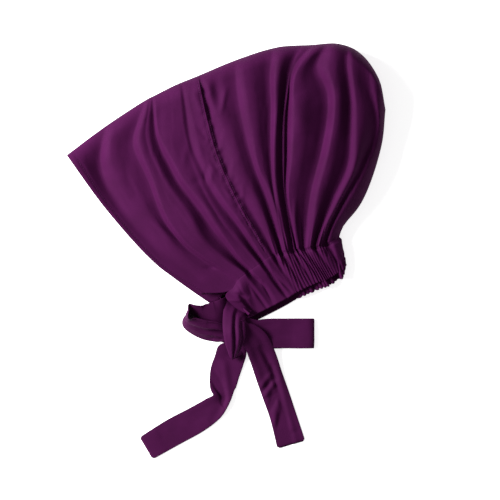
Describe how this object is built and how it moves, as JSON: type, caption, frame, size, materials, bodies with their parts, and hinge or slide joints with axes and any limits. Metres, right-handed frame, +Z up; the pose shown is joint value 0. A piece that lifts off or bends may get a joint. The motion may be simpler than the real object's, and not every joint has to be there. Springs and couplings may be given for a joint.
{
  "type": "hijab underscarf cap",
  "caption": "Tie-back underscarf cap lying on its side: a gathered pouch of soft cloth with a plain face edge, a ruched elastic casing at the nape and ties in a bow.",
  "frame": {"origin": "on the table that the cap lies on, below the middle of the whole cap's box", "axes": "+X from the face edge towards the back of the pouch, +Y from the ties towards the crown, +Z up from the table"},
  "size_m": [0.35, 0.457, 0.0474],
  "materials": {
    "panel_cloth": "soft matte jersey with a faint sheen",
    "casing_cloth": "the same jersey, ruched over elastic",
    "tie_cloth": "the same jersey, pressed flat and doubled"
  },
  "bodies": {
    "root": {"face_panel": "panel_cloth", "back_panel": "panel_cloth", "nape_casing": "casing_cloth", "left_loop_tie": "tie_cloth", "right_loop_tie": "tie_cloth"}
  },
  "joints": []
}
